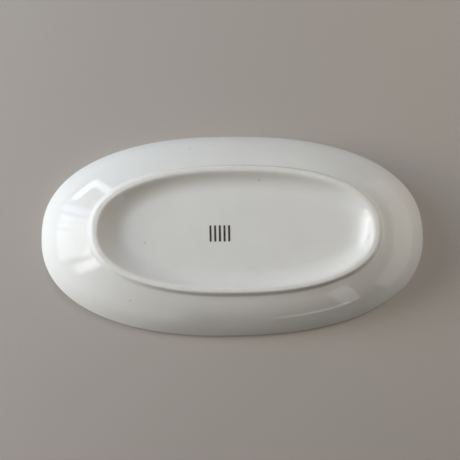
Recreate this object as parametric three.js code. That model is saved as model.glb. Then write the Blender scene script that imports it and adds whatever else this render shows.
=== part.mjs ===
// Oval plate of glazed stoneware, standing upright on its foot ring.
// Millimetres, +Z up. The origin is the middle of the foot ring, on the surface that the plate stands on.
// The long section of the clay body is drawn once, stretch by stretch. Each piece is made of stretches of
// that section, spun round the upright axis and then pressed from round to oval.
import * as THREE from 'three';
import { mergeGeometries, mergeVertices } from 'three/addons/utils/BufferGeometryUtils.js';

// The finished plate, over its glaze
const PLATE_LENGTH = 240;
const PLATE_WIDTH = 126;
const PLATE_HEIGHT = 25;
const OVAL_POWER = 2.32; // 2 is an ellipse, and more makes the ends fuller
const LIP_THICKNESS = 3.2;
const WALL_BOW = THREE.MathUtils.degToRad(17); // turn of the wall's slope, each way from its straight line

// The foot ring, measured along the middle of the dry edge that it stands on
const FOOT_LENGTH = 168;
const FOOT_WIDTH = 73;
const FOOT_HEIGHT = 3.4; // from the standing surface to the crease under the wall
const DRY_EDGE_WIDTH = 1.4;
const DRY_ROUND = 0.6; // tangent length of the dry rounding on each side of that edge
const LINE_SLOPE = THREE.MathUtils.degToRad(25); // slope where the dry rounding ends and the glaze begins
const FLANK_ROUND = 0.4; // tangent length of the glazed rounding outside the ring
const FLANK_SLOPE = THREE.MathUtils.degToRad(58);
const CREASE_ROUND = 1.5; // tangent length of the fillet where the flank meets the wall

// The recess inside the foot ring and the well of the eating face
const RECESS_DEPTH = 5.5;
const COVE_WIDTH = 16.4; // from the flat of the recess to the dry edge
const COVE_SLOPE = THREE.MathUtils.degToRad(39);
const COVE_ROUND = 0.8; // tangent length of the glazed rounding inside the ring
const FLOOR_THICKNESS = 3.8;
const WELL_LENGTH = 164; // the flat of the well

// The coats on the clay
const GLAZE_THICKNESS = 0.2;
const INK_THICKNESS = 0.1;

// A plain tally of ink strokes on the floor of the recess
const STROKE_COUNT = 5;
const STROKE_LENGTH = 10;
const STROKE_WIDTH = 1.2;
const STROKE_PITCH = 2.8;
const TALLY_X = -10.5;
const TALLY_Y = 2;

// Facets of the solids
const TURN_STEPS = 64;
const STEPS = {
  straight: 1,
  cove: 4,
  round: 2,
  crease: 2,
  wall: 5,
  lip: 4,
  faceWall: 6,
  strokeEnd: 6,
};

// A point of the section at a reach from the upright axis and a height
const at = (reach, height) => new THREE.Vector2(reach, height);

// The point at a distance from another, along a slope
const along = (from, slope, distance) =>
  at(from.x + distance * Math.cos(slope), from.y + distance * Math.sin(slope));

// Where a line of one slope through p crosses a line of another slope through q
function meeting(p, slopeP, q, slopeQ) {
  const gap = q.clone().sub(p);
  const cross = Math.sin(slopeQ - slopeP);
  const distance = (gap.x * Math.sin(slopeQ) - gap.y * Math.cos(slopeQ)) / cross;
  return along(p, slopeP, distance);
}

const line = (from, to) => ({ curve: new THREE.LineCurve(from, to), steps: STEPS.straight });
const bend = (from, corner, to, steps) => ({
  curve: new THREE.QuadraticBezierCurve(from, corner, to),
  steps,
});

// One side of the foot ring: a dry rounding from the dry edge up to the glaze line, and a glazed one from
// there to the slope beyond. The way is 1 for the side away from the axis and -1 for the side towards it.
function ringSide(way, slope, round) {
  const heading = (rise) => (way > 0 ? rise : Math.PI - rise);
  const dryEdge = at(FOOT_LENGTH / 2 + (way * DRY_EDGE_WIDTH) / 2, 0);
  const dryCorner = at(dryEdge.x + way * DRY_ROUND, 0);
  const glazeLine = along(dryCorner, heading(LINE_SLOPE), DRY_ROUND);
  const glazedCorner = along(glazeLine, heading(LINE_SLOPE), round);
  const slopeFoot = along(glazedCorner, heading(slope), round);
  return { dryEdge, dryCorner, glazeLine, glazedCorner, slopeFoot };
}

// Clay section under the plate: the recess floor, its cove and the foot ring
const inside = ringSide(-1, COVE_SLOPE, COVE_ROUND);
const outside = ringSide(1, FLANK_SLOPE, FLANK_ROUND);
const recessTop = RECESS_DEPTH + GLAZE_THICKNESS;
const coveTop = at(inside.dryEdge.x - COVE_WIDTH, recessTop);
const coveCorner = meeting(coveTop, 0, inside.slopeFoot, Math.PI - COVE_SLOPE);
const creaseCorner = meeting(outside.slopeFoot, FLANK_SLOPE, at(0, FOOT_HEIGHT), 0);

// Clay section of the wall, the lip and the eating face
const lipRadius = LIP_THICKNESS / 2 - GLAZE_THICKNESS;
const lipCentre = at(PLATE_LENGTH / 2 - LIP_THICKNESS / 2, PLATE_HEIGHT - LIP_THICKNESS / 2);
const wallSlope = lipCentre.clone().sub(creaseCorner).angle();
const slopeAtFoot = wallSlope - WALL_BOW;
const slopeAtLip = wallSlope + WALL_BOW;
const lipOutside = along(lipCentre, slopeAtLip - Math.PI / 2, lipRadius);
const lipInside = along(lipCentre, slopeAtLip + Math.PI / 2, lipRadius);
const creaseBelow = along(creaseCorner, FLANK_SLOPE, -CREASE_ROUND);
const creaseAbove = along(creaseCorner, slopeAtFoot, CREASE_ROUND);
const wallCorner = meeting(creaseAbove, slopeAtFoot, lipOutside, slopeAtLip);
const wellTop = RECESS_DEPTH + FLOOR_THICKNESS - GLAZE_THICKNESS;
const wellEdge = at(WELL_LENGTH / 2, wellTop);
const wellCorner = meeting(wellEdge, 0, lipInside, slopeAtLip);

// The stretches of the section, from the middle of the recess round the lip to the middle of the well
const recessStretches = [
  line(at(0, recessTop), coveTop),
  bend(coveTop, coveCorner, inside.slopeFoot, STEPS.cove),
  bend(inside.slopeFoot, inside.glazedCorner, inside.glazeLine, STEPS.round),
];
const dryStretches = [
  bend(inside.glazeLine, inside.dryCorner, inside.dryEdge, STEPS.round),
  line(inside.dryEdge, outside.dryEdge),
  bend(outside.dryEdge, outside.dryCorner, outside.glazeLine, STEPS.round),
];
const outerStretches = [
  bend(outside.glazeLine, outside.glazedCorner, outside.slopeFoot, STEPS.round),
  line(outside.slopeFoot, creaseBelow),
  bend(creaseBelow, creaseCorner, creaseAbove, STEPS.crease),
  bend(creaseAbove, wallCorner, lipOutside, STEPS.wall),
  {
    curve: new THREE.EllipseCurve(
      lipCentre.x,
      lipCentre.y,
      lipRadius,
      lipRadius,
      slopeAtLip - Math.PI / 2,
      slopeAtLip + Math.PI / 2,
    ),
    steps: STEPS.lip,
  },
  bend(lipInside, wellCorner, wellEdge, STEPS.faceWall),
  line(wellEdge, at(0, wellTop)),
];

// Points along some stretches, each moved out of the clay by a depth
function section(stretches, depth) {
  const points = [];
  stretches.forEach(({ curve, steps }, index) => {
    for (let step = index === 0 ? 0 : 1; step <= steps; step += 1) {
      const way = curve.getTangent(step / steps);
      const point = curve.getPoint(step / steps);
      points.push(at(point.x + depth * way.y, point.y - depth * way.x));
    }
  });
  return points;
}

// The plate's half width where its half length is the given reach. Between the rim and the recess the side
// walls take a fixed share of the run of the end walls; the flat inside is a plain shrinking of its own edge.
const sideShare = (PLATE_WIDTH - FOOT_WIDTH) / (PLATE_LENGTH - FOOT_LENGTH);
function halfWidth(reach) {
  const flatEdge = Math.max(reach, coveTop.x);
  const edgeWidth = PLATE_WIDTH / 2 - sideShare * (PLATE_LENGTH / 2 - flatEdge);
  return (edgeWidth * reach) / flatEdge;
}

// One coordinate of the unit oval, from the cosine or sine of the turn
const ovalled = (share) => Math.sign(share) * Math.abs(share) ** (2 / OVAL_POWER);

// A sheet: some points of the section, spun round the axis and pressed to the oval
function sheet(points) {
  const spun = new THREE.LatheGeometry(points, TURN_STEPS);
  const place = spun.getAttribute('position');
  for (let i = 0; i < place.count; i += 1) {
    const reach = Math.hypot(place.getX(i), place.getZ(i));
    const turn = Math.atan2(place.getX(i), place.getZ(i));
    const x = reach * ovalled(Math.cos(turn));
    const y = halfWidth(reach) * ovalled(Math.sin(turn));
    place.setXYZ(i, x, y, place.getY(i));
  }
  spun.deleteAttribute('normal');
  spun.deleteAttribute('uv');
  return spun;
}

// A sheet that faces the other way
function turnedSheet(points) {
  const turned = sheet(points);
  turned.setIndex(Array.from(turned.getIndex().array).reverse());
  return turned;
}

// Joins sheets that share their edges, without the empty triangles that a sheet has on the axis
function solid(sheets) {
  const joined = mergeVertices(mergeGeometries(sheets));
  const corners = joined.getIndex().array;
  const kept = [];
  for (let i = 0; i < corners.length; i += 3) {
    const [a, b, c] = corners.subarray(i, i + 3);
    if (a !== b && b !== c && c !== a) kept.push(a, b, c);
  }
  joined.setIndex(kept);
  joined.computeVertexNormals();
  return joined;
}

// The clay: the whole section, from axis to axis
const clayGeometry = () => solid([sheet(section([...recessStretches, ...dryStretches, ...outerStretches], 0))]);

// A coat of glaze: its own face, the face that lies on the clay and a narrow band at each end
function coatGeometry(stretches) {
  const face = section(stretches, GLAZE_THICKNESS);
  const back = section(stretches, 0);
  return solid([
    sheet(face),
    turnedSheet(back),
    sheet([back.at(0), face.at(0)]),
    sheet([face.at(-1), back.at(-1)]),
  ]);
}

// One ink stroke: a bar with round ends, printed on the recess floor
function strokeGeometry() {
  const endRadius = STROKE_WIDTH / 2;
  const endCentre = STROKE_LENGTH / 2 - endRadius;
  const outline = new THREE.Shape();
  outline.absarc(0, endCentre, endRadius, 0, Math.PI);
  outline.absarc(0, -endCentre, endRadius, Math.PI, 2 * Math.PI);
  return new THREE.ExtrudeGeometry(outline, {
    depth: INK_THICKNESS,
    bevelEnabled: false,
    curveSegments: STEPS.strokeEnd,
  });
}

const clay = new THREE.MeshStandardMaterial({ color: '#e2ddd2', roughness: 0.85, metalness: 0 });
const glaze = new THREE.MeshStandardMaterial({ color: '#e9e8e4', roughness: 0.12, metalness: 0 });
const ink = new THREE.MeshStandardMaterial({ color: '#24231f', roughness: 0.4, metalness: 0 });

function piece(name, geometry, material) {
  const mesh = new THREE.Mesh(geometry, material);
  mesh.name = name;
  return mesh;
}

const plate = new THREE.Group();
plate.name = 'oval_plate';
plate.add(
  piece('clay_body', clayGeometry(), clay),
  piece('outer_glaze', coatGeometry(outerStretches), glaze),
  piece('recess_glaze', coatGeometry(recessStretches), glaze),
);

const tally = new THREE.Group();
tally.position.set(TALLY_X, TALLY_Y, RECESS_DEPTH - INK_THICKNESS);
for (let i = 0; i < STROKE_COUNT; i += 1) {
  const stroke = piece(`tally_stroke_${i + 1}`, strokeGeometry(), ink);
  stroke.position.x = (i - (STROKE_COUNT - 1) / 2) * STROKE_PITCH;
  tally.add(stroke);
}
plate.add(tally);

export default plate;
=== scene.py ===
import math

import bpy
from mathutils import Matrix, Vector


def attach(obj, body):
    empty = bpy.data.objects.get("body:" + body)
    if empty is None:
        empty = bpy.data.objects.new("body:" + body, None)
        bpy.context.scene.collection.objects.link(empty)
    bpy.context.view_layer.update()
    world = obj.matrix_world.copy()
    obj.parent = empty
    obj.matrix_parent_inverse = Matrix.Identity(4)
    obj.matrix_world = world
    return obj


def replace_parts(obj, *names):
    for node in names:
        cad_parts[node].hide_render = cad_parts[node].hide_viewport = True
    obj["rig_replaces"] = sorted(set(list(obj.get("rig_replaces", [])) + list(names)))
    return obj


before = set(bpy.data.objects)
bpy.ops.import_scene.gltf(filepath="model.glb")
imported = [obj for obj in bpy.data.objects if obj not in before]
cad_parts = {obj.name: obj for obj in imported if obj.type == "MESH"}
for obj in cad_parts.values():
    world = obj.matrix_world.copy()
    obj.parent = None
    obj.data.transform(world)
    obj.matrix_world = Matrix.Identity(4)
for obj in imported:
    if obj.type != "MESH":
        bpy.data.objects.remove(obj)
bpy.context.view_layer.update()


# The clay body: floor, wall, lip and foot ring of the plate, one piece of pressed and fired stoneware.
# Glaze hides it everywhere but on the narrow dry edge of the foot ring, on which it stood in the kiln.
# Its long section is drawn as one curve, spun round the upright axis and pressed from round to oval.
MM = 0.001
PLATE_LENGTH = 240 * MM
PLATE_WIDTH = 126 * MM
PLATE_HEIGHT = 25 * MM
OVAL_POWER = 2.32
LIP_THICKNESS = 3.2 * MM
WALL_BOW = math.radians(17)
FOOT_LENGTH = 168 * MM
FOOT_WIDTH = 73 * MM
FOOT_HEIGHT = 3.4 * MM
DRY_EDGE_WIDTH = 1.4 * MM
DRY_ROUND = 0.6 * MM
LINE_SLOPE = math.radians(25)
FLANK_ROUND = 0.4 * MM
FLANK_SLOPE = math.radians(58)
CREASE_ROUND = 1.5 * MM
RECESS_DEPTH = 5.5 * MM
COVE_WIDTH = 16.4 * MM
COVE_SLOPE = math.radians(39)
COVE_ROUND = 0.8 * MM
FLOOR_THICKNESS = 3.8 * MM
WELL_LENGTH = 164 * MM
GLAZE_THICKNESS = 0.2 * MM
CURVE_STEPS = 8
TURN_STEPS = 160
MERGE_GAP = 0.001 * MM
RIM_WARP = 0.2 * MM
WARP_TURN = 0.8
CLAY_COLOR = (0.75, 0.735, 0.70, 1)
CLAY_STAIN = (0.71, 0.695, 0.66, 1)
CLAY_ROUGHNESS = 0.7
STAIN_PATCHES = 160
GRAIN_PATCHES = 2200
GRAIN_DEPTH = 0.02 * MM


def at(reach, height):
    """A point of the section, at a reach from the upright axis."""
    return Vector((reach, 0, height))


def along(start, slope, distance):
    """The point at a distance from another, along a slope."""
    return start + at(distance * math.cos(slope), distance * math.sin(slope))


def meeting(p, slope_p, q, slope_q):
    """Where a line of one slope through p crosses a line of another slope through q."""
    gap = q - p
    distance = gap.x * math.sin(slope_q) - gap.z * math.cos(slope_q)
    return along(p, slope_p, distance / math.sin(slope_q - slope_p))


def ring_side(way, slope, rounding):
    """One side of the foot ring: dry edge, dry corner, glaze line, glazed corner and foot of the slope."""
    turned = [rise if way > 0 else math.pi - rise for rise in (LINE_SLOPE, slope)]
    dry_edge = at(FOOT_LENGTH / 2 + way * DRY_EDGE_WIDTH / 2, 0)
    dry_corner = dry_edge + at(way * DRY_ROUND, 0)
    glaze_line = along(dry_corner, turned[0], DRY_ROUND)
    glazed_corner = along(glaze_line, turned[0], rounding)
    return dry_edge, dry_corner, glaze_line, glazed_corner, along(glazed_corner, turned[1], rounding)


INWARDS = -1
OUTWARDS = 1
inner_side = ring_side(INWARDS, COVE_SLOPE, COVE_ROUND)
outer_side = ring_side(OUTWARDS, FLANK_SLOPE, FLANK_ROUND)
dry_inside, dry_corner_inside, line_inside, corner_inside, cove_foot = inner_side
dry_outside, dry_corner_outside, line_outside, corner_outside, flank_foot = outer_side
recess_middle = at(0, RECESS_DEPTH + GLAZE_THICKNESS)
cove_top = at(dry_inside.x - COVE_WIDTH, recess_middle.z)
cove_corner = meeting(cove_top, 0, cove_foot, math.pi - COVE_SLOPE)
crease_corner = meeting(flank_foot, FLANK_SLOPE, at(0, FOOT_HEIGHT), 0)
lip_radius = LIP_THICKNESS / 2 - GLAZE_THICKNESS
lip_centre = at(PLATE_LENGTH / 2 - LIP_THICKNESS / 2, PLATE_HEIGHT - LIP_THICKNESS / 2)
wall_slope = math.atan2(lip_centre.z - crease_corner.z, lip_centre.x - crease_corner.x)
slope_at_foot = wall_slope - WALL_BOW
slope_at_lip = wall_slope + WALL_BOW
lip_tip = along(lip_centre, slope_at_lip, lip_radius)
lip_outside = along(lip_centre, slope_at_lip - math.pi / 2, lip_radius)
lip_inside = along(lip_centre, slope_at_lip + math.pi / 2, lip_radius)
crease_below = along(crease_corner, FLANK_SLOPE, -CREASE_ROUND)
crease_above = along(crease_corner, slope_at_foot, CREASE_ROUND)
wall_corner = meeting(crease_above, slope_at_foot, lip_outside, slope_at_lip)
well_middle = at(0, RECESS_DEPTH + FLOOR_THICKNESS - GLAZE_THICKNESS)
well_edge = at(WELL_LENGTH / 2, well_middle.z)
well_corner = meeting(well_edge, 0, lip_inside, slope_at_lip)

# Each step of the section: where it ends, the corner that it rounds, and how far its handles pull to it
BEND_PULL = 2 / 3
QUARTER_PULL = 0.5523
section = [
    (cove_top, recess_middle.lerp(cove_top, 0.5), BEND_PULL),
    (cove_foot, cove_corner, BEND_PULL),
    (line_inside, corner_inside, BEND_PULL),
    (dry_inside, dry_corner_inside, BEND_PULL),
    (dry_outside, dry_inside.lerp(dry_outside, 0.5), BEND_PULL),
    (line_outside, dry_corner_outside, BEND_PULL),
    (flank_foot, corner_outside, BEND_PULL),
    (crease_below, flank_foot.lerp(crease_below, 0.5), BEND_PULL),
    (crease_above, crease_corner, BEND_PULL),
    (lip_outside, wall_corner, BEND_PULL),
    (lip_tip, along(lip_outside, slope_at_lip, lip_radius), QUARTER_PULL),
    (lip_inside, along(lip_inside, slope_at_lip, lip_radius), QUARTER_PULL),
    (well_edge, well_corner, BEND_PULL),
    (well_middle, well_edge.lerp(well_middle, 0.5), BEND_PULL),
]

bpy.ops.object.select_all(action="DESELECT")
bpy.ops.curve.primitive_bezier_curve_add()
clay_body = bpy.context.object
clay_body.name = "clay_body_fired"
clay_body.data.dimensions = "3D"
drawn = clay_body.data.splines[0]
drawn.resolution_u = CURVE_STEPS
drawn.bezier_points.add(len(section) - 1)
for knot in drawn.bezier_points:
    knot.handle_left_type = "FREE"
    knot.handle_right_type = "FREE"
drawn.bezier_points[0].co = recess_middle
drawn.bezier_points[0].handle_left = recess_middle
for i, (end, corner, pull) in enumerate(section):
    start = drawn.bezier_points[i].co.copy()
    drawn.bezier_points[i].handle_right = start.lerp(corner, pull)
    drawn.bezier_points[i + 1].handle_left = end.lerp(corner, pull)
    drawn.bezier_points[i + 1].co = end
    drawn.bezier_points[i + 1].handle_right = end
bpy.ops.object.convert(target="MESH")

spin = clay_body.modifiers.new("spin", "SCREW")
spin.steps = TURN_STEPS
spin.render_steps = TURN_STEPS
spin.use_merge_vertices = True
spin.merge_threshold = MERGE_GAP
spin.use_normal_calculate = True
bpy.ops.object.modifier_apply(modifier=spin.name)

# The side walls take a fixed share of the run of the end walls, and the flat inside shrinks from its edge
side_share = (PLATE_WIDTH - FOOT_WIDTH) / (PLATE_LENGTH - FOOT_LENGTH)


def half_width(reach):
    """The plate's half width where its half length is the given reach."""
    flat_edge = max(reach, cove_top.x)
    edge_width = PLATE_WIDTH / 2 - side_share * (PLATE_LENGTH / 2 - flat_edge)
    return edge_width * reach / flat_edge


def ovalled(share):
    """One coordinate of the unit oval, from the cosine or sine of the turn."""
    return math.copysign(abs(share) ** (2 / OVAL_POWER), share)


def press_to_oval(piece):
    """Presses a round piece to the plate's oval, and keeps each point's reach as an attribute."""
    reaches = piece.data.attributes.new("reach", "FLOAT", "POINT")
    for point in piece.data.vertices:
        reach = math.hypot(point.co.x, point.co.y)
        turn = math.atan2(point.co.y, point.co.x)
        rise = max(0, (reach - FOOT_LENGTH / 2) / (PLATE_LENGTH / 2 - FOOT_LENGTH / 2))
        point.co.x = reach * ovalled(math.cos(turn))
        point.co.y = half_width(reach) * ovalled(math.sin(turn))
        point.co.z += RIM_WARP * rise**2 * math.sin(2 * turn + WARP_TURN)
        reaches.data[point.index].value = reach


press_to_oval(clay_body)


def add_nodes(tree, **kinds):
    """Adds shader nodes to a tree and returns them by the names given."""
    made = {}
    for name, kind in kinds.items():
        made[name] = tree.nodes.new(kind)
        made[name].label = name
    return made


def new_material(name):
    """A material with a Principled shader, and its node tree."""
    material = bpy.data.materials.new(name)
    material.use_nodes = True
    return material, material.node_tree, material.node_tree.nodes["Principled BSDF"]


# Uneven tone: soft patches over a surface, from 0 to 1, at a size given in patches to the metre
TONE_LOW = 0.3
TONE_HIGH = 0.7

uneven_tone = bpy.data.node_groups.new("uneven_tone", "ShaderNodeTree")
uneven_tone.interface.new_socket("Patches", in_out="INPUT", socket_type="NodeSocketFloat")
uneven_tone.interface.new_socket("Detail", in_out="INPUT", socket_type="NodeSocketFloat")
uneven_tone.interface.new_socket("Mask", in_out="OUTPUT", socket_type="NodeSocketFloat")
part = add_nodes(
    uneven_tone,
    given="NodeGroupInput",
    place="ShaderNodeTexCoord",
    noise="ShaderNodeTexNoise",
    spread="ShaderNodeMapRange",
    result="NodeGroupOutput",
)
part["spread"].inputs["From Min"].default_value = TONE_LOW
part["spread"].inputs["From Max"].default_value = TONE_HIGH
uneven_tone.links.new(part["place"].outputs["Object"], part["noise"].inputs["Vector"])
uneven_tone.links.new(part["given"].outputs["Patches"], part["noise"].inputs["Scale"])
uneven_tone.links.new(part["given"].outputs["Detail"], part["noise"].inputs["Detail"])
uneven_tone.links.new(part["noise"].outputs["Fac"], part["spread"].inputs["Value"])
uneven_tone.links.new(part["spread"].outputs["Result"], part["result"].inputs["Mask"])


def tone_node(tree, patches, detail):
    """An uneven tone in a material's tree."""
    tone = tree.nodes.new("ShaderNodeGroup")
    tone.node_tree = uneven_tone
    tone.inputs["Patches"].default_value = patches
    tone.inputs["Detail"].default_value = detail
    return tone


def blend_node(tree, mask, first, second):
    """A colour that goes from the first to the second with a mask."""
    blend = tree.nodes.new("ShaderNodeMix")
    blend.data_type = "RGBA"
    blend.inputs["A"].default_value = first
    blend.inputs["B"].default_value = second
    tree.links.new(mask, blend.inputs["Factor"])
    return blend


def range_node(tree, mask, limits):
    """A value that goes from the lower to the higher limit with a mask."""
    spread = tree.nodes.new("ShaderNodeMapRange")
    spread.inputs["To Min"].default_value = limits[0]
    spread.inputs["To Max"].default_value = limits[1]
    tree.links.new(mask, spread.inputs["Value"])
    return spread


def bump_node(tree, height, depth):
    """A bump from a height that runs from 0 to 1, of a real depth."""
    bump = tree.nodes.new("ShaderNodeBump")
    bump.inputs["Distance"].default_value = depth
    bump.inputs["Strength"].default_value = 1
    tree.links.new(height, bump.inputs["Height"])
    return bump


dry_clay, tree, shader = new_material("dry_clay")
stains = tone_node(tree, STAIN_PATCHES, 4)
grain = tone_node(tree, GRAIN_PATCHES, 3)
clay_color = blend_node(tree, stains.outputs["Mask"], CLAY_COLOR, CLAY_STAIN)
clay_bump = bump_node(tree, grain.outputs["Mask"], GRAIN_DEPTH)
tree.links.new(clay_color.outputs["Result"], shader.inputs["Base Color"])
tree.links.new(clay_bump.outputs["Normal"], shader.inputs["Normal"])
shader.inputs["Roughness"].default_value = CLAY_ROUGHNESS

clay_body.data.materials.append(dry_clay)
bpy.ops.object.shade_smooth()
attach(clay_body, "root")
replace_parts(clay_body, "clay_body")


# The outer glaze: one coat of glossy white glaze over the eating face, the lip and the outside.
# It ends in a soft rolled line on the flank of the foot ring, just above the dry edge.
# It is the skin of the clay itself, copied from it and given its thickness outwards.
GLAZE_COLOR = (0.76, 0.755, 0.735, 1)
GLAZE_TINT = (0.735, 0.73, 0.708, 1)
GLAZE_ROUGHNESS = (0.01, 0.04)
GLAZE_IOR = 1.52
CLOUD_PATCHES = 45
SMUDGE_PATCHES = 110
WAVE_PATCHES = 110
WAVE_DEPTH = 0.03 * MM
SMOOTH_ANGLE = math.radians(40)
# Darker spots in the glaze, at given places. The two inside the foot ring are specks of colour. The two on
# the outer wall stand for small glaze pimples, whose shade is painted into the glaze as a dark spot.
SPECK_AND_PIMPLE_SHADE_COLOR = (0.5, 0.49, 0.46, 1)
SPOT_RADIUS = 0.9 * MM
SPECKS_AND_PIMPLE_SHADES = [(-55, 7, 5.5), (14, -30, 3.9), (-28, -52, 11), (-64, 41, 8.1)]
LINE_TAPER = 1.4 * MM
LINE_SHARE = 0.1


def glaze_coat(name, depth_of):
    """Copies the clay faces that a coat covers and thickens them outwards, thinning towards its line.
    The depth is how far a point lies inside the coat's line, and less than zero where there is no coat."""
    bpy.ops.object.select_all(action="DESELECT")
    clay_body.select_set(True)
    bpy.context.view_layer.objects.active = clay_body
    bpy.ops.object.duplicate()
    coat = bpy.context.object
    coat.name = name
    coat["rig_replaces"] = []
    reaches = [item.value for item in coat.data.attributes["reach"].data]
    fullness = coat.vertex_groups.new(name="fullness")
    for point in coat.data.vertices:
        depth = depth_of(reaches[point.index], point.normal.z)
        share = min(1, LINE_SHARE + (1 - LINE_SHARE) * max(0, depth) / LINE_TAPER)
        fullness.add([point.index], share, "REPLACE")
    bpy.context.tool_settings.mesh_select_mode = (False, False, True)
    for face in coat.data.polygons:
        middle = sum(reaches[i] for i in face.vertices) / len(face.vertices)
        face.select = depth_of(middle, face.normal.z) < 0
    bpy.ops.object.mode_set(mode="EDIT")
    bpy.ops.mesh.delete(type="FACE")
    bpy.ops.object.mode_set(mode="OBJECT")
    thick = coat.modifiers.new("thickness", "SOLIDIFY")
    thick.thickness = GLAZE_THICKNESS
    thick.offset = 1
    thick.use_even_offset = True
    thick.vertex_group = fullness.name
    bpy.ops.object.modifier_apply(modifier=thick.name)
    coat.data.materials.clear()
    bpy.ops.object.shade_smooth_by_angle(angle=SMOOTH_ANGLE)
    return coat


def depth_outside(reach, upward):
    """The outer coat lies on the eating face and on all that is outside the foot ring's dry edge."""
    return PLATE_LENGTH if upward > 0 else reach - line_outside.x


white_glaze, tree, shader = new_material("white_glaze")
cloudy = tone_node(tree, CLOUD_PATCHES, 2)
smudged = tone_node(tree, SMUDGE_PATCHES, 5)
wavy = tone_node(tree, WAVE_PATCHES, 1)
glaze_color = blend_node(tree, cloudy.outputs["Mask"], GLAZE_COLOR, GLAZE_TINT)
glaze_surface = tree.nodes.new("ShaderNodeTexCoord")
# Each spot darkens the glaze colour within its radius: a real speck inside the foot ring, a painted pimple
# shade on the outer wall.
for spot in SPECKS_AND_PIMPLE_SHADES:
    dot = add_nodes(tree, gap="ShaderNodeVectorMath", mask="ShaderNodeMapRange")
    dot["gap"].operation = "DISTANCE"
    dot["gap"].inputs[1].default_value = [place * MM for place in spot]
    dot["mask"].inputs["From Min"].default_value = SPOT_RADIUS
    dot["mask"].inputs["From Max"].default_value = 0
    tree.links.new(glaze_surface.outputs["Object"], dot["gap"].inputs[0])
    tree.links.new(dot["gap"].outputs["Value"], dot["mask"].inputs["Value"])
    clear_color = glaze_color
    glaze_color = blend_node(tree, dot["mask"].outputs["Result"], GLAZE_COLOR, SPECK_AND_PIMPLE_SHADE_COLOR)
    tree.links.new(clear_color.outputs["Result"], glaze_color.inputs["A"])
glaze_gloss = range_node(tree, smudged.outputs["Mask"], GLAZE_ROUGHNESS)
glaze_bump = bump_node(tree, wavy.outputs["Mask"], WAVE_DEPTH)
tree.links.new(glaze_color.outputs["Result"], shader.inputs["Base Color"])
tree.links.new(glaze_gloss.outputs["Result"], shader.inputs["Roughness"])
tree.links.new(glaze_bump.outputs["Normal"], shader.inputs["Normal"])
shader.inputs["IOR"].default_value = GLAZE_IOR

outer_glaze = glaze_coat("outer_glaze_coat", depth_outside)
outer_glaze.data.materials.append(white_glaze)
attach(outer_glaze, "root")
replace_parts(outer_glaze, "outer_glaze")


# The recess glaze: the same glaze inside the foot ring, on the flat underside and up the ring's cove.
# The dry edge parts it from the outer coat, and the ink lies on its flat.
def depth_inside(reach, upward):
    """The inner coat lies on what faces down inside the foot ring's dry edge."""
    return -PLATE_LENGTH if upward > 0 else line_inside.x - reach


recess_glaze = glaze_coat("recess_glaze_coat", depth_inside)
recess_glaze.data.materials.append(white_glaze)
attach(recess_glaze, "root")
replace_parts(recess_glaze, "recess_glaze")


# The tally: five short strokes of dark ceramic ink, printed on the flat of the recess and fired.
# The print is a little uneven, so the ink is thinner in places.
INK_COLOR = (0.012, 0.012, 0.010, 1)
INK_THIN = (0.06, 0.055, 0.048, 1)
INK_ROUGHNESS = (0.28, 0.55)
INK_PATCHES = 900
INK_DEPTH = 0.01 * MM

dark_ink, tree, shader = new_material("dark_ink")
thin = tone_node(tree, INK_PATCHES, 3)
ink_color = blend_node(tree, thin.outputs["Mask"], INK_COLOR, INK_THIN)
ink_gloss = range_node(tree, thin.outputs["Mask"], INK_ROUGHNESS)
ink_bump = bump_node(tree, thin.outputs["Mask"], INK_DEPTH)
tree.links.new(ink_color.outputs["Result"], shader.inputs["Base Color"])
tree.links.new(ink_gloss.outputs["Result"], shader.inputs["Roughness"])
tree.links.new(ink_bump.outputs["Normal"], shader.inputs["Normal"])

for name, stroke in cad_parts.items():
    if name.startswith("tally_stroke"):
        stroke.data.materials.clear()
        stroke.data.materials.append(dark_ink)


# The card that the plate lies on face down in the photographed view. The part's own frame has the plate
# upright, so the card is over it, level with the lip, and is seen from below. It has an oval opening
# under the plate, casts no shadow, and is clear while the camera looks down on the eating face.
CARD_COLOR = (0.40, 0.365, 0.335, 1)
CARD_REACH = 2.5
PAPER_ROUGHNESS = 0.9
OPENING_REACH = lip_centre.x - 1 * MM
UP = (0, 0, 1)
LOOKS_UP = "GREATER_THAN"
LOOKS_DOWN = "LESS_THAN"


def camera_test(tree, way):
    """1 if the camera looks up or down, as asked. Depth grows away from it: up has some if it looks up."""
    tilt = add_nodes(
        tree,
        up="ShaderNodeVectorTransform",
        parts="ShaderNodeSeparateXYZ",
        test="ShaderNodeMath",
    )
    tilt["up"].vector_type = "VECTOR"
    tilt["up"].convert_from = "WORLD"
    tilt["up"].convert_to = "CAMERA"
    tilt["up"].inputs["Vector"].default_value = UP
    tilt["test"].operation = way
    tilt["test"].inputs[1].default_value = 0
    tree.links.new(tilt["up"].outputs["Vector"], tilt["parts"].inputs["Vector"])
    tree.links.new(tilt["parts"].outputs["Z"], tilt["test"].inputs[0])
    return tilt["test"].outputs["Value"]


card_paper, tree, shader = new_material("card_paper")
side = add_nodes(tree, clear="ShaderNodeBsdfTransparent", mixed="ShaderNodeMixShader")
tree.links.new(camera_test(tree, LOOKS_DOWN), side["mixed"].inputs["Fac"])
tree.links.new(shader.outputs["BSDF"], side["mixed"].inputs[1])
tree.links.new(side["clear"].outputs["BSDF"], side["mixed"].inputs[2])
tree.links.new(side["mixed"].outputs["Shader"], tree.nodes["Material Output"].inputs["Surface"])
shader.inputs["Base Color"].default_value = CARD_COLOR
shader.inputs["Roughness"].default_value = PAPER_ROUGHNESS

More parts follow.
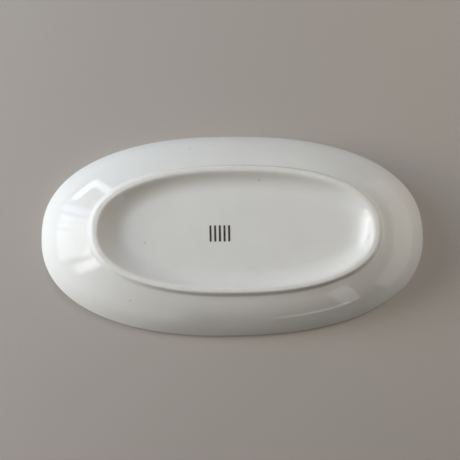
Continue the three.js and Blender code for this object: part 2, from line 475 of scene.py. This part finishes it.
bpy.ops.object.select_all(action="DESELECT")
bpy.ops.mesh.primitive_circle_add(vertices=TURN_STEPS, radius=OPENING_REACH)
card = bpy.context.object
card.name = "card"
press_to_oval(card)
bpy.ops.object.mode_set(mode="EDIT")
bpy.ops.mesh.select_all(action="SELECT")
bpy.ops.mesh.extrude_edges_move()
growth = CARD_REACH / OPENING_REACH
bpy.ops.transform.resize(value=(growth, growth, 1))
bpy.ops.object.mode_set(mode="OBJECT")
for point in card.data.vertices:
    point.co.z = PLATE_HEIGHT
card.data.materials.append(card_paper)
card.visible_shadow = False
card.visible_diffuse = False


# The floor under the upright plate. The camera sees it and the glaze mirrors it while the camera looks
# down. For the photographed view, which looks up, it is clear. The lamps below shine through it in
# every view, and it fades into the backdrop.
FLOOR_COLOR = (0.56, 0.535, 0.51, 1)
FLOOR_REACH = 1.4
FLOOR_CORNERS = 96
FLOOR_DROP = 0.05 * MM
FADE_START = 0.25

floor_paper, tree, shader = new_material("floor_paper")
side = add_nodes(
    tree,
    place="ShaderNodeTexCoord",
    distance="ShaderNodeVectorMath",
    fade="ShaderNodeMapRange",
    hidden="ShaderNodeMath",
    clear="ShaderNodeBsdfTransparent",
    mixed="ShaderNodeMixShader",
)
side["distance"].operation = "LENGTH"
side["fade"].interpolation_type = "SMOOTHSTEP"
side["fade"].inputs["From Min"].default_value = FADE_START
side["fade"].inputs["From Max"].default_value = FLOOR_REACH
side["hidden"].operation = "MAXIMUM"
tree.links.new(side["place"].outputs["Object"], side["distance"].inputs[0])
tree.links.new(side["distance"].outputs["Value"], side["fade"].inputs["Value"])
tree.links.new(side["fade"].outputs["Result"], side["hidden"].inputs[0])
tree.links.new(camera_test(tree, LOOKS_UP), side["hidden"].inputs[1])
tree.links.new(side["hidden"].outputs["Value"], side["mixed"].inputs["Fac"])
tree.links.new(shader.outputs["BSDF"], side["mixed"].inputs[1])
tree.links.new(side["clear"].outputs["BSDF"], side["mixed"].inputs[2])
tree.links.new(side["mixed"].outputs["Shader"], tree.nodes["Material Output"].inputs["Surface"])
shader.inputs["Base Color"].default_value = FLOOR_COLOR
shader.inputs["Roughness"].default_value = PAPER_ROUGHNESS

bpy.ops.object.select_all(action="DESELECT")
bpy.ops.mesh.primitive_circle_add(
    vertices=FLOOR_CORNERS, radius=FLOOR_REACH, fill_type="NGON", location=(0, 0, -FLOOR_DROP)
)
floor = bpy.context.object
floor.name = "floor"
floor.data.materials.append(floor_paper)
floor.visible_shadow = False
floor.visible_diffuse = False


# The light. The photographed view looks up at the plate, so its window and ceiling light are below it.
# They light the plate without being mirrored in it. What the glaze mirrors are the window's panes and
# curtain folds and the walls of the room, which light nothing. Two lamps above are for the upright views.
WHITE = (1, 1, 1)
WARM = (1, 0.96, 0.89)
SKY = (0.5, 0.72, 1)
LAVENDER = (0.62, 0.62, 1)
LAMP_DISTANCE = 1.0
MIDDLE = Vector((0, 0, 10 * MM))


def soft_lamp(name, azimuth, height, wide, high, brightness, color=WHITE, lights=True, mirrored=True):
    """A rectangular lamp round the plate: its direction, its width and height in degrees and its light."""
    turn = math.radians(azimuth)
    lift = math.radians(height)
    way = Vector((math.cos(lift) * math.cos(turn), math.cos(lift) * math.sin(turn), math.sin(lift)))
    lamp = bpy.data.lights.new(name, "AREA")
    lamp.shape = "RECTANGLE"
    lamp.size = 2 * LAMP_DISTANCE * math.tan(math.radians(wide / 2))
    lamp.size_y = 2 * LAMP_DISTANCE * math.tan(math.radians(high / 2))
    lamp.energy = brightness * math.pi * lamp.size * lamp.size_y
    lamp.color = color
    holder = bpy.data.objects.new(name, lamp)
    holder.location = MIDDLE + LAMP_DISTANCE * way
    holder.rotation_euler = (-way).to_track_quat("-Z", "Y").to_euler()
    holder.visible_camera = False
    holder.visible_diffuse = lights
    holder.visible_glossy = mirrored
    bpy.context.collection.objects.link(holder)


soft_lamp("window_light", 180, -16, 26, 14, 24.5, color=WARM, mirrored=False)
soft_lamp("sky_light", 202, -22, 16, 14, 19, color=SKY, mirrored=False)
soft_lamp("ceiling_light", 320, -53, 36, 30, 4.5, color=WARM, mirrored=False)
soft_lamp("low_pane", 155, -34, 9, 23, 4.2, lights=False)
for i in range(4):
    soft_lamp("upper_pane", 200, -49 - 3.5 * i, 66 - 12 * i, 10 + 7 * i, 1.5, lights=False)
for i in range(6):
    soft_lamp("curtain_fold", 170 + 5.6 * i, -26.5, 4.3, 35, 2.7, lights=False)
soft_lamp("window_frame", 206, -22, 6, 33, 3, color=LAVENDER, lights=False)
soft_lamp("high_pane", 222, -15.5, 15, 10, 4.2, lights=False)
soft_lamp("side_pane", 231, -22.5, 4.5, 25, 4, lights=False)
soft_lamp("thin_pane", 224, -36, 15, 2.2, 3.6, lights=False)
for i in range(4):
    soft_lamp("far_wall", 356, -13, 30 + 18 * i, 8 + 7 * i, 0.75, color=WARM, lights=False)
for i in range(3):
    soft_lamp("near_wall", 130, -9, 26 + 18 * i, 12 + 10 * i, 0.7, color=WARM, lights=False)
soft_lamp("far_window", 54, -22, 8, 28, 1.1, lights=False)
soft_lamp("far_strip", 66, -9, 22, 4, 1.4, lights=False)
soft_lamp("top_key", 215, 55, 40, 40, 4.3)
soft_lamp("top_fill", 40, 65, 60, 60, 0.7)

# The world is pale above and dark below, and to the camera it is a pale backdrop
WORLD_ABOVE = (0.30, 0.30, 0.30, 1)
WORLD_BELOW = (0.042, 0.034, 0.026, 1)
BACKDROP = (0.86, 0.85, 0.83, 1)
HORIZON = 0.05

world = bpy.data.worlds.new("studio")
world.use_nodes = True
tree = world.node_tree
sky = add_nodes(
    tree,
    way="ShaderNodeTexCoord",
    split="ShaderNodeSeparateXYZ",
    upward="ShaderNodeMapRange",
    ray="ShaderNodeLightPath",
    backdrop="ShaderNodeBackground",
    mixed="ShaderNodeMixShader",
)
sky["upward"].inputs["From Min"].default_value = -HORIZON
sky["upward"].inputs["From Max"].default_value = HORIZON
even = tree.nodes["Background"]
glow = blend_node(tree, sky["upward"].outputs["Result"], WORLD_BELOW, WORLD_ABOVE)
sky["backdrop"].inputs["Color"].default_value = BACKDROP
tree.links.new(sky["way"].outputs["Generated"], sky["split"].inputs["Vector"])
tree.links.new(sky["split"].outputs["Z"], sky["upward"].inputs["Value"])
tree.links.new(glow.outputs["Result"], even.inputs["Color"])
tree.links.new(sky["ray"].outputs["Is Camera Ray"], sky["mixed"].inputs["Fac"])
tree.links.new(even.outputs["Background"], sky["mixed"].inputs[1])
tree.links.new(sky["backdrop"].outputs["Background"], sky["mixed"].inputs[2])
tree.links.new(sky["mixed"].outputs["Shader"], tree.nodes["World Output"].inputs["Surface"])
bpy.context.scene.world = world


# The camera of the photographed view: under the upright plate, looking up at the foot ring.
CAMERA_PLACE = (-26.5 * MM, 54.5 * MM, -374.5 * MM)
CAMERA_TURN = (-171.787, 3.18, 1.097)
LENS = 50.09
SENSOR_WIDTH = 36
NEAREST = 10 * MM

camera = bpy.data.objects.new("camera", bpy.data.cameras.new("camera"))
camera.location = CAMERA_PLACE
camera.rotation_euler = [math.radians(angle) for angle in CAMERA_TURN]
camera.data.sensor_width = SENSOR_WIDTH
camera.data.lens = LENS
camera.data.clip_start = NEAREST
bpy.context.collection.objects.link(camera)
bpy.context.scene.camera = camera
bpy.context.scene.view_settings.view_transform = "Standard"
